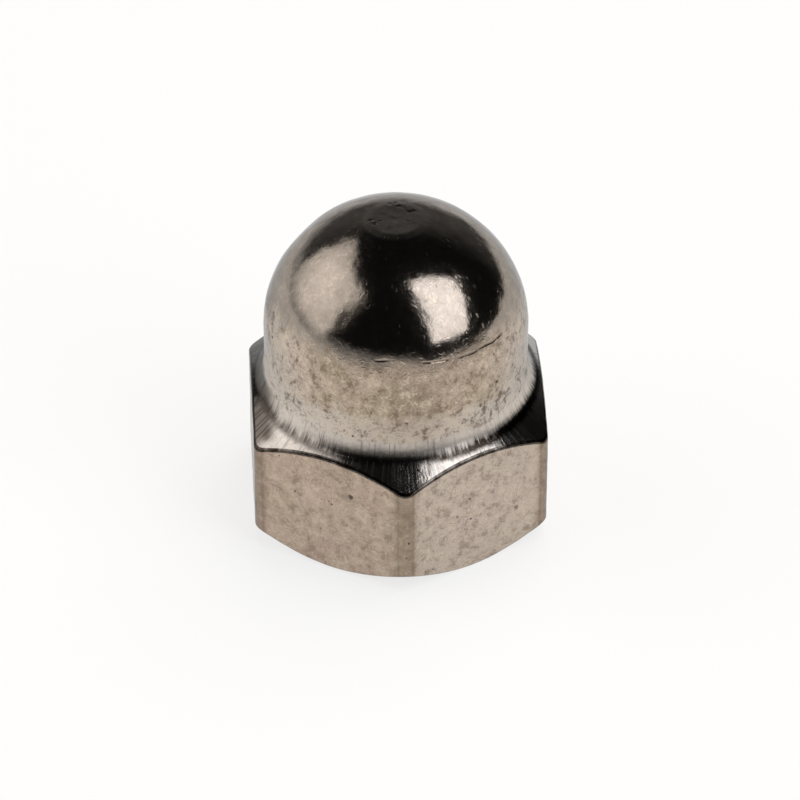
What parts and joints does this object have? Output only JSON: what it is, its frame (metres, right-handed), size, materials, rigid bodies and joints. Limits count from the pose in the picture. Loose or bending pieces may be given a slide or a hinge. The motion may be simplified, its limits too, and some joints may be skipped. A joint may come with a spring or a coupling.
{
  "type": "cap nut",
  "caption": "Hexagon cap nut with a domed closed top and a blind tapped hole, in bright nickel-plated steel.",
  "frame": {"origin": "centre of the bearing face, on the thread axis", "axes": "+Z along the thread axis towards the dome; two corners of the hexagon lie on Y and two flats face along X"},
  "size_m": [0.007, 0.008, 0.008],
  "materials": {
    "nickel_plate": "polished"
  },
  "bodies": {
    "root": {"cap_nut": "nickel_plate"}
  },
  "joints": []
}
